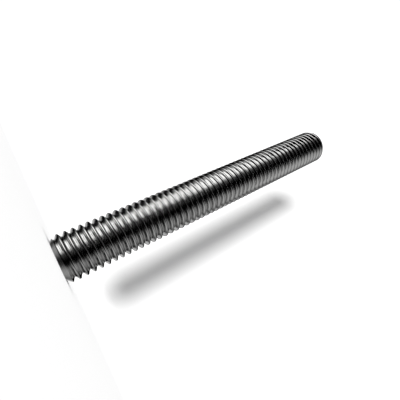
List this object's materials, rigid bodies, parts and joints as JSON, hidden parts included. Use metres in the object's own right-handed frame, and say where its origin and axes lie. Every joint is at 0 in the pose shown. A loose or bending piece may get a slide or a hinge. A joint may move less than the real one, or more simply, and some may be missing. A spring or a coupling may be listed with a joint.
{
  "type": "threaded rod",
  "caption": "Straight round steel rod with a continuous right-hand screw thread from end to end and square, chamfered ends.",
  "frame": {"origin": "centre of the lower end face, on the rod's axis", "axes": "+Z along the rod's axis, from the lower end to the upper end; X and Y are any two directions square to it"},
  "size_m": [0.01, 0.01, 0.08],
  "materials": {
    "bright_steel": "bright rolled stainless steel, bare and polished, with fine marks that run along the thread"
  },
  "bodies": {
    "root": {"rod": "bright_steel"}
  },
  "joints": []
}
